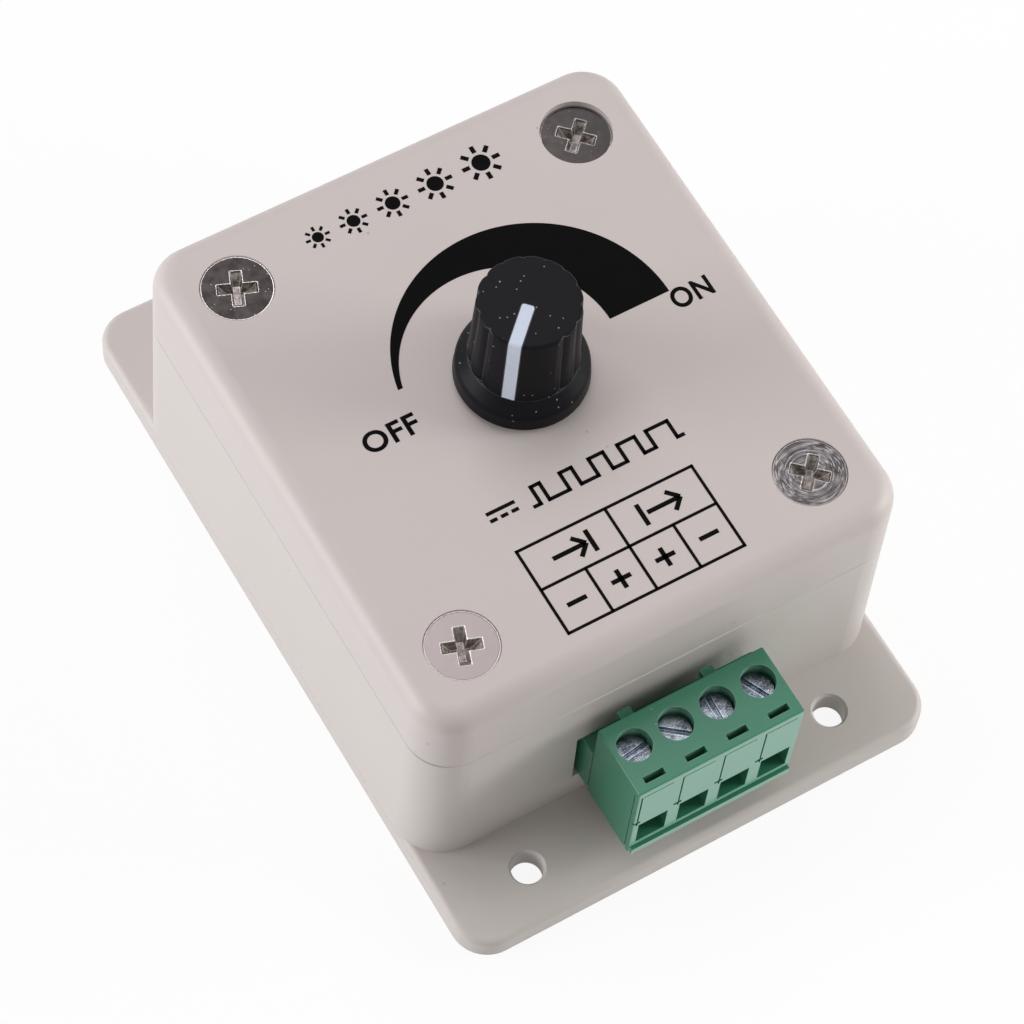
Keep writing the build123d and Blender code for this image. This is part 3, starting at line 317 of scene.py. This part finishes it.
def knob_plastic():
    """Black plastic with a fine eroded grain, a painted highlight along its edges, and white dust.
    """
    finish = Finish("knob_plastic")
    cloud = finish.noise(2.5, detail=3.0)
    grain = finish.noise(0.1, roughness=0.6)
    dust = finish.specks(0.8, 0.08, 0.3).math("MAXIMUM", finish.specks(2.6, 0.1, 0.5))
    tone = finish.mix(cloud, screen_colour(6, 6, 10), screen_colour(13, 13, 19))
    # Painted highlight along the flutes' edges and the top rim
    tone = finish.mix(finish.edges(0.25) * 0.7, tone, screen_colour(118, 120, 130))
    tone = finish.mix(dust * 0.8, tone, screen_colour(170, 168, 165))
    return finish.set(
        Base_Color=tone,
        Roughness=0.34 + cloud * 0.14 + dust * 0.3,
        Normal=finish.bump(grain, 0.005),
        Specular_IOR_Level=0.1,
    )


def plain_surface(name, first, second, size, roughness, swing, depth, detail=2.0, stretch=None):
    """A surface whose colour, roughness and relief follow one cloudy noise between two tones."""
    finish = Finish(name)
    place = finish.stretched(stretch) if stretch else None
    cloud = finish.noise(size, detail=detail, place=place)
    return finish.set(
        Base_Color=finish.mix(cloud, first, second),
        Roughness=roughness + cloud * swing,
        Normal=finish.bump(cloud, depth),
    )


def plated_steel(name, light, dark, roughness, pits, scratch_turn):
    """Plated steel with drawn scratches, cloudy plating and small dark pits."""
    finish = Finish(name)
    cloud = finish.noise(1.2, detail=3.0)
    scratch = finish.scratches(0.35, scratch_turn)
    pit = finish.specks(0.55, 0.05, pits)
    tone = finish.mix(cloud, light, dark)
    tone = finish.mix(pit * 0.8, tone, screen_colour(60, 56, 54))
    return finish.set(
        Base_Color=tone,
        Metallic=1.0,
        Roughness=roughness + scratch * 0.16 + pit * 0.3,
        Normal=finish.bump(scratch + pit * -1.5, 0.004),
    )


def lid_screw_steel():
    """Nickel-plated heads: the rear two polished and painted dark, the front two painted paler, as
    painted reflections; one front head scuffed.
    """
    finish = Finish("lid_screw_steel")
    right, rear = finish.axis("X").above(0, MM), finish.axis("Y").above(0, MM)
    out_x = finish.axis("X").math("ABSOLUTE") - lid_screw_x * MM
    out_y = finish.axis("Y").math("ABSOLUTE") - lid_screw_y * MM
    reach = (out_x * out_x + out_y * out_y).math("SQRT")
    depth = lid_top - finish.axis("Z") - right * rear * deep_screw_drop * MM
    recess = depth.above(recess_depth * MM, 0.1 * MM) * reach.below(recess_radius * MM, 0.1 * MM)
    rim = reach.above(lid_screw_rim * MM, 0.04 * MM)
    cloud = finish.noise(1.1, detail=4.0)
    facet = finish.noise(0.5).above(0.5, 0.2)
    scratch = finish.scratches(0.35, 20)
    round_the_head = finish.node(
        "ShaderNodeCombineXYZ", None, {"X": reach, "Y": finish.axis("Y") * 0.2}
    )
    ring = finish.noise(0.16, detail=3.0, roughness=0.6, place=round_the_head)
    dust = finish.specks(0.4, 0.05, 0.3)
    # Colour of the painted highlight on the heads' edges and rims
    edge_highlight_tone = screen_colour(245, 243, 240)

    scuffed = finish.mix(
        cloud.above(0.5, 0.2), screen_colour(78, 75, 75), screen_colour(118, 114, 114)
    )
    scuffed = finish.mix(ring.above(0.56, 0.05) * 0.7, scuffed, screen_colour(48, 46, 45))
    scuffed = finish.mix(ring.below(0.42, 0.04) * 0.6, scuffed, screen_colour(178, 175, 174))
    # Pale tone of the front heads: a painted reflection of bright surroundings
    satin = finish.mix(cloud, screen_colour(126, 119, 117), screen_colour(132, 124, 122))
    front = finish.mix(right, satin, scuffed)
    # Dark tone of the rear heads, a touch lighter on the right: a painted reflection of dark
    # surroundings
    polished = finish.mix(
        cloud.above(0.5, 0.25), screen_colour(34, 31, 31), screen_colour(50, 46, 45)
    )
    polished = finish.mix(right * 0.1, polished, screen_colour(150, 144, 142))
    facets = finish.mix(facet, screen_colour(104, 92, 88), screen_colour(186, 174, 168))

    tone = finish.mix(rear, front, polished)
    tone = finish.mix(dust * rear * 0.7, tone, screen_colour(150, 142, 124))
    tone = finish.mix(recess * 0.9, tone, facets)
    # Painted highlight on the heads' edges and round the bevelled rim, fainter on the right heads
    edge_highlight = finish.edges(0.2).math("MAXIMUM", rim * (1 - right * 0.5))
    tone = finish.mix(edge_highlight, tone, edge_highlight_tone)
    return finish.set(
        Base_Color=tone,
        Metallic=1.0 - recess * 0.8,
        Roughness=0.28 - rear * 0.14 + scratch * 0.12,
        Normal=finish.bump(rim * -1.0 + scratch * 0.02, 0.12),
    )


def clamp_steel():
    """Bluish bright plate of the clamp screws: streaked, with dark patches painted as reflections
    and a painted highlight on the slot edges.
    """
    finish = Finish("clamp_steel")
    cloud = finish.noise(1.3, detail=3.0).above(0.5, 0.12)
    scratch = finish.scratches(0.3, -35, thinness=12.0)
    # Dark patches: painted reflections of dark surroundings
    tone = finish.mix(cloud, screen_colour(148, 156, 164), screen_colour(78, 86, 94))
    tone = finish.mix(scratch.above(0.58, 0.05) * 0.7, tone, screen_colour(36, 44, 50))
    tone = finish.mix(scratch.below(0.4, 0.04) * 0.6, tone, screen_colour(226, 234, 244))
    # Painted highlight along the slot and head edges
    tone = finish.mix(finish.edges(0.14) * 0.9, tone, screen_colour(214, 230, 252))
    return finish.set(
        Base_Color=tone,
        Metallic=1.0,
        Roughness=0.1 + scratch * 0.14,
        Normal=finish.bump(scratch, 0.012),
    )


def board_laminate():
    """Green solder mask over faint copper tracks."""
    finish = Finish("board_laminate")
    weave = finish.noise(0.4, detail=1.0)
    along = finish.stretched((1.0, 0.3, 1.0))
    tracks = finish.noise(4.0, detail=0.0, place=along).above(0.52, 0.02)
    tone = finish.mix(tracks, screen_colour(24, 84, 48), screen_colour(36, 112, 62))
    tone = finish.mix(weave * 0.2, tone, screen_colour(60, 120, 70))
    return finish.set(
        Base_Color=tone, Roughness=0.3 + weave * 0.1, Normal=finish.bump(tracks, 0.02)
    )


def sleeve_plastic():
    """Dark shrunk sleeve with the pale stripe that marks the negative side."""
    finish = Finish("capacitor_sleeve")
    stripe_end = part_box("capacitor")[0].x + stripe_width * MM
    stripe = finish.axis("X").math("LESS_THAN", stripe_end)
    creases = finish.noise(0.9, place=finish.stretched((1.0, 1.0, 0.2)))
    tone = finish.mix(stripe, screen_colour(24, 30, 52), screen_colour(186, 190, 196))
    return finish.set(
        Base_Color=tone, Roughness=0.25 + creases * 0.1, Normal=finish.bump(creases, 0.02)
    )


def resistor_coat():
    """Beige lacquer with plain colour bands."""
    finish = Finish("resistor_coat")
    band = (finish.axis("Y") * (tau / (band_pitch * MM))).math("SINE").above(0.72, 0.08)
    tint = finish.noise(2.2, detail=0.0).above(0.5, 0.02)
    colours = finish.mix(tint, screen_colour(150, 58, 30), screen_colour(40, 34, 60))
    tone = finish.mix(band, screen_colour(206, 178, 132), colours)
    lacquer = finish.noise(0.8)
    return finish.set(
        Base_Color=tone, Roughness=0.3 + lacquer * 0.1, Normal=finish.bump(lacquer, 0.02)
    )


def print_ink():
    """Black screen ink: nearly even, with a faint mesh pattern and a little dust."""
    finish = Finish("print_ink")
    mesh = finish.noise(0.15, detail=1.0)
    cloud = finish.noise(2.5)
    dust = finish.specks(3.0, 0.1, 0.25)
    tone = finish.mix(cloud, screen_colour(4, 3, 3), screen_colour(7, 6, 6))
    tone = finish.mix(dust * 0.5, tone, screen_colour(120, 114, 110))
    return finish.set(
        Base_Color=tone,
        Roughness=0.6 + mesh * 0.15,
        Normal=finish.bump(mesh, 0.003),
        Specular_IOR_Level=0.05,
    )


# Materials whose wiring is their own
finishes = {
    "housing_plastic": housing_plastic(),
    "terminal_plastic": terminal_plastic(),
    "knob_plastic": knob_plastic(),
    "lid_screw_steel": lid_screw_steel(),
    "clamp_steel": clamp_steel(),
    "board_laminate": board_laminate(),
    "capacitor_sleeve": sleeve_plastic(),
    "resistor_coat": resistor_coat(),
    "print_ink": print_ink(),
}
finishes["plug_plastic"] = finishes["terminal_plastic"]

# Plated and turned metals: light and dark tone, roughness, share of pits, turn of the scratches
nickel = (214, 210, 206), (186, 182, 178)
metals = {
    "screw_steel": (*nickel, 0.25, 0.1, 70),
    "tin_plate": ((206, 206, 204), (176, 176, 174), 0.34, 0.1, 90),
    "pot_steel": (*nickel, 0.3, 0.1, 45),
    "nickel_metal": (*nickel, 0.24, 0.1, 10),
    "shaft_metal": ((220, 220, 222), (196, 196, 200), 0.28, 0.05, 0),
    "spring_brass": ((212, 176, 104), (186, 148, 80), 0.28, 0.1, 0),
}
for name, (light, dark, *looks) in metals.items():
    finishes[name] = plated_steel(name, screen_colour(*light), screen_colour(*dark), *looks)

# Plain surfaces: two tones, size of the clouds, roughness and its swing, depth of the relief, and
# where it isn't the usual one, the noise's detail and stretch
plains = {
    "pointer_plastic": ((195, 202, 222), (210, 216, 234), 0.8, 0.4, 0.1, 0.004),
    "wafer_board": ((120, 78, 40), (158, 110, 64), 0.6, 0.5, 0.2, 0.01, 4.0, (1.0, 5.0, 1.0)),
    "chip_black": ((34, 34, 34), (48, 48, 47), 0.09, 0.55, 0.15, 0.008),
    "wire_insulation": ((176, 34, 28), (196, 44, 34), 0.7, 0.3, 0.1, 0.01),
    "rotor_plastic": ((206, 196, 166), (218, 210, 184), 1.5, 0.45, 0.1, 0.01),
}
for name, (first, second, *looks) in plains.items():
    finishes[name] = plain_surface(name, screen_colour(*first), screen_colour(*second), *looks)

for subpart in frame["record"]["subparts"]:
    node = frame["nodes"][subpart["node"]]
    node.data.materials.clear()
    node.data.materials.append(finishes[subpart["material_slot"]])


def spot(x, y):
    """A point of the lid's top, from its place in millimetres."""
    return Vector((x * MM, y * MM, lid_top))


def draw_bar(bm, start, end, width):
    """A flat straight stroke between two places on the lid."""
    first, last = spot(*start), spot(*end)
    run = last - first
    turn = Matrix.Rotation(run.to_2d().angle_signed(Vector((1, 0))), 4, "Z")
    size = Matrix.Diagonal((run.length, width * MM, 1, 1))
    matrix = Matrix.Translation((first + last) / 2) @ turn @ size
    bmesh.ops.create_grid(bm, x_segments=1, y_segments=1, size=0.5, matrix=matrix)


def draw_disc(bm, centre, radius):
    """A flat round dot on the lid."""
    middle = Matrix.Translation(spot(*centre))
    bmesh.ops.create_circle(bm, cap_ends=True, segments=40, radius=radius * MM, matrix=middle)


def draw_path(bm, points, width):
    """Strokes from point to point, lengthened by half a width so that the corners close."""
    for start, end in zip(points, points[1:]):
        run = (Vector(end) - Vector(start)).normalized() * width / 2
        draw_bar(bm, Vector(start) - run, Vector(end) + run, width)


def draw_arc(bm, centre, start, angle, steps):
    """A chain of edges: a point spun about a centre."""
    point = bmesh.ops.create_vert(bm, co=spot(*start))["vert"]
    bmesh.ops.spin(
        bm,
        geom=point,
        cent=spot(*centre),
        axis=(0, 0, 1),
        angle=angle,
        steps=steps,
        use_merge=False,
    )


def finish_print(name, bm):
    """Gives flat drawing its thickness of ink and lays it on the lid."""
    bmesh.ops.recalc_face_normals(bm, faces=bm.faces)
    down = [face for face in bm.faces if face.normal.z < 0]
    bmesh.ops.reverse_faces(bm, faces=down)
    top = bmesh.ops.extrude_face_region(bm, geom=bm.faces[:], use_keep_orig=True)
    raised = [item for item in top["geom"] if isinstance(item, bmesh.types.BMVert)]
    bmesh.ops.translate(bm, verts=raised, vec=(0, 0, ink_thickness))
    bmesh.ops.recalc_face_normals(bm, faces=bm.faces)
    mesh = bpy.data.meshes.new(name)
    bm.to_mesh(mesh)
    bm.free()
    piece = bpy.data.objects.new(name, mesh)
    bpy.context.scene.collection.objects.link(piece)
    mesh.materials.append(finishes["print_ink"])
    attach(piece, "housing")


# Dial: a wedge that widens towards full brightness, between two circles
dial_foot_y, dial_tip_y = 1.9, 5.0
outer_circle = Vector((3.54, 2.05)), 15.92
inner_circle = Vector((0.08, 2.05)), 11.98
dial_steps = 72


def print_dial():
    """The wedge round the knob."""
    bm = bmesh.new()
    for centre, radius in (outer_circle, inner_circle):
        start_turn = asin((dial_foot_y - centre.y) / radius)
        end_turn = pi - asin((dial_tip_y - centre.y) / radius)
        start = centre + radius * Vector((cos(start_turn), sin(start_turn)))
        draw_arc(bm, centre, start, end_turn - start_turn, dial_steps)
    bmesh.ops.bridge_loops(bm, edges=bm.edges[:])
    finish_print("dial_wedge", bm)


# Space from letter to letter, as a share of the font's own
letter_spacing = 1.08


def print_word(name, text, left, right, foot, cap, weight):
    """A plain word set to a measured width and cap height; weight thickens its strokes."""
    curve = bpy.data.curves.new(name, "FONT")
    curve.body = text
    curve.offset = weight
    curve.space_character = letter_spacing
    holder = bpy.data.objects.new(name, curve)
    bpy.context.scene.collection.objects.link(holder)
    mesh = bpy.data.meshes.new_from_object(holder)
    bpy.data.objects.remove(holder)
    bm = bmesh.new()
    bm.from_mesh(mesh)
    bpy.data.meshes.remove(mesh)
    across = [vert.co.x for vert in bm.verts]
    up = [vert.co.y for vert in bm.verts]
    low_x, high_x = min(across), max(across)
    low_y, high_y = min(up), max(up)
    bmesh.ops.translate(bm, verts=bm.verts, vec=(-low_x, -low_y, 0))
    stretch = ((right - left) * MM / (high_x - low_x), (cap - foot) * MM / (high_y - low_y), 1)
    bmesh.ops.scale(bm, verts=bm.verts, vec=stretch)
    bmesh.ops.translate(bm, verts=bm.verts, vec=spot(left, foot))
    finish_print(name, bm)


def print_suns():
    """A row of small suns that grow from dim to bright, in the heading's place."""
    bm = bmesh.new()
    count, rays = 5, 8
    left, right, row_y = -10.4, 9.8, 25.5
    smallest, widening = 0.62, 0.18
    disc_radius, ray_start, ray_end, ray_width = 1.05, 1.4, 2.3, 0.52
    for i in range(count):
        share = i / (count - 1)
        along = share * (1 - widening + widening * share)
        centre = Vector((left + (right - left) * along, row_y))
        size = smallest + (1 - smallest) * share
        draw_disc(bm, centre, disc_radius * size)
        for ray in range(rays):
            way = Vector((cos(ray * tau / rays), sin(ray * tau / rays))) * size
            draw_bar(bm, centre + way * ray_start, centre + way * ray_end, ray_width * size)
    finish_print("brightness_suns", bm)


def print_supply_row():
    """A direct current sign and a train of widening pulses, under the dial."""
    bm = bmesh.new()
    stroke = 0.42
    low_y, high_y = -13.8, -11.6
    middle_y = (low_y + high_y) / 2

    sign_left, sign_right, sign_rise = -11.4, -8.0, 0.45
    dashes, dash_pitch, dash_length = 3, 1.28, 0.84
    line_y, dash_y = middle_y + sign_rise, middle_y - sign_rise
    draw_bar(bm, (sign_left, line_y), (sign_right, line_y), stroke)
    for i in range(dashes):
        start_x = sign_left + i * dash_pitch
        draw_bar(bm, (start_x, dash_y), (start_x + dash_length, dash_y), stroke)

    row_start, first_rise, row_end, period = -6.4, -5.7, 11.6, 3.5
    points = [(row_start, low_y)]
    for i, share in enumerate((0.3, 0.4, 0.5, 0.6, 0.75)):
        rise_x = first_rise + i * period
        fall_x = rise_x + share * period
        points += [(rise_x, low_y), (rise_x, high_y), (fall_x, high_y), (fall_x, low_y)]
    points.append((row_end, low_y))
    draw_path(bm, points, stroke)
    finish_print("supply_row", bm)


# Table over the terminal: two columns over four poles
table_left, table_right = -10.8, 10.4
table_width = table_right - table_left
table_top, table_middle, table_bottom = -17.45, -22.45, -28.05
table_line = 0.34


def print_table():
    """The table's frame and the lines between its cells."""
    bm = bmesh.new()
    corners = [
        (table_left, table_bottom),
        (table_right, table_bottom),
        (table_right, table_top),
        (table_left, table_top),
        (table_left, table_bottom),
    ]
    draw_path(bm, corners, table_line)
    draw_bar(bm, (table_left, table_middle), (table_right, table_middle), table_line)
    for share, top in ((0.5, table_top), (0.25, table_middle), (0.75, table_middle)):
        x = table_left + table_width * share
        draw_bar(bm, (x, top), (x, table_bottom), table_line)
    finish_print("wiring_table", bm)


def print_table_signs():
    """Arrows in and out of a bar, and the sign of each pole."""
    bm = bmesh.new()
    stroke = 0.52
    bar_shift, bar_half = 2.2, 1.35
    arrow_shift, arrow_half, arrow_head, arrow_blunt = 0.4, 2.0, 1.2, 0.3
    row_y = (table_top + table_middle) / 2
    for share, way in ((0.25, 1), (0.75, -1)):
        x = table_left + table_width * share
        bar_x = x + bar_shift * way
        draw_bar(bm, (bar_x, row_y - bar_half), (bar_x, row_y + bar_half), stroke)
        tip = x - arrow_shift * way + arrow_half
        draw_bar(bm, (tip - 2 * arrow_half, row_y), (tip - arrow_blunt, row_y), stroke)
        for side in (-1, 1):
            draw_bar(bm, (tip, row_y), (tip - arrow_head, row_y + side * arrow_head), stroke)

    sign_half = 1.15
    sign_y = (table_middle + table_bottom) / 2
    poles = "-++-"
    for i, sign in enumerate(poles):
        x = table_left + table_width * (i + 0.5) / len(poles)
        draw_bar(bm, (x - sign_half, sign_y), (x + sign_half, sign_y), stroke)
        if sign == "+":
            draw_bar(bm, (x, sign_y - sign_half), (x, sign_y + sign_half), stroke)
    finish_print("pole_signs", bm)


print_dial()
print_word("mark_off", "OFF", -18.55, -12.15, -0.45, 2.1, 0.022)
print_word("mark_on", "ON", 19.05, 23.85, -0.65, 1.9, 0.024)
print_suns()
print_supply_row()
print_table()
print_table_signs()


def floor_white():
    """White studio floor: what the camera and mirrors see is near white, with a soft shadow."""
    finish = Finish("studio_floor")
    finish.set(Base_Color=(0.9, 0.9, 0.9, 1), Roughness=0.9)
    glow = finish.node("ShaderNodeEmission", None, {"Color": white, "Strength": 1.0})
    away = finish.node(
        "ShaderNodeVectorMath", {"operation": "LENGTH"}, (finish.place,), output="Value"
    )
    far = away.above(shadow_end * MM, shadow_end_softness * MM)
    glow_share = finish.seen() * (far * shadow_share + (1 - shadow_share))
    plain = Wire(finish, finish.shader.outputs[0])
    mixed = finish.node("ShaderNodeMixShader", None, (glow_share, plain, glow))
    finish.feed(finish.tree.nodes["Material Output"].inputs["Surface"], mixed)
    return finish.material


def lay_floor():
    """A wide flat floor under the dimmer."""
    bm = bmesh.new()
    bmesh.ops.create_grid(bm, x_segments=1, y_segments=1, size=floor_width * MM / 2)
    mesh = bpy.data.meshes.new("floor")
    bm.to_mesh(mesh)
    bm.free()
    mesh.materials.append(floor_white())
    piece = bpy.data.objects.new("floor", mesh)
    bpy.context.scene.collection.objects.link(piece)


def soft_lamp(name, place, size, power, colour):
    """A soft box that faces the middle of the lid."""
    lamp = bpy.data.lights.new(name, "AREA")
    lamp.shape = "RECTANGLE"
    lamp.size, lamp.size_y = size[0] * MM, size[1] * MM
    lamp.energy = power
    lamp.color = colour
    holder = bpy.data.objects.new(name, lamp)
    holder.location = Vector(place) * MM
    aim = Vector((0, 0, lid_top)) - holder.location
    holder.rotation_euler = aim.to_track_quat("-Z", "Y").to_euler()
    bpy.context.scene.collection.objects.link(holder)


def studio():
    """The floor, the light from all round and the lamps."""
    lay_floor()
    world = bpy.data.worlds.new("studio")
    bpy.context.scene.world = world
    world.use_nodes = True
    wiring = Wiring(world.node_tree)
    background = wiring.tree.nodes["Background"]
    seen = wiring.seen()
    wiring.feed(background.inputs["Color"], wiring.mix(seen, world_colour, white))
    wiring.feed(background.inputs["Strength"], seen * (1 - world_light) + world_light)
    for name, settings in lamps.items():
        soft_lamp(name, *settings)


def photo_camera():
    """The camera of the photo, aimed and then turned about its line of sight."""
    camera = bpy.data.cameras.new("photo_camera")
    camera.sensor_width = camera_sensor
    camera.lens = camera_lens
    camera.clip_start = 10 * MM
    holder = bpy.data.objects.new("photo_camera", camera)
    away = (camera_place - camera_aim).normalized()
    level = Vector((0, 0, 1)).cross(away).normalized()
    right = Matrix.Rotation(camera_lean, 3, away) @ level
    upward = away.cross(right)
    turn = Matrix((right, upward, away)).transposed().to_4x4()
    holder.matrix_world = Matrix.Translation(camera_place) @ turn
    bpy.context.scene.collection.objects.link(holder)
    bpy.context.scene.camera = holder


studio()
photo_camera()
bpy.context.scene.view_settings.view_transform = "Standard"
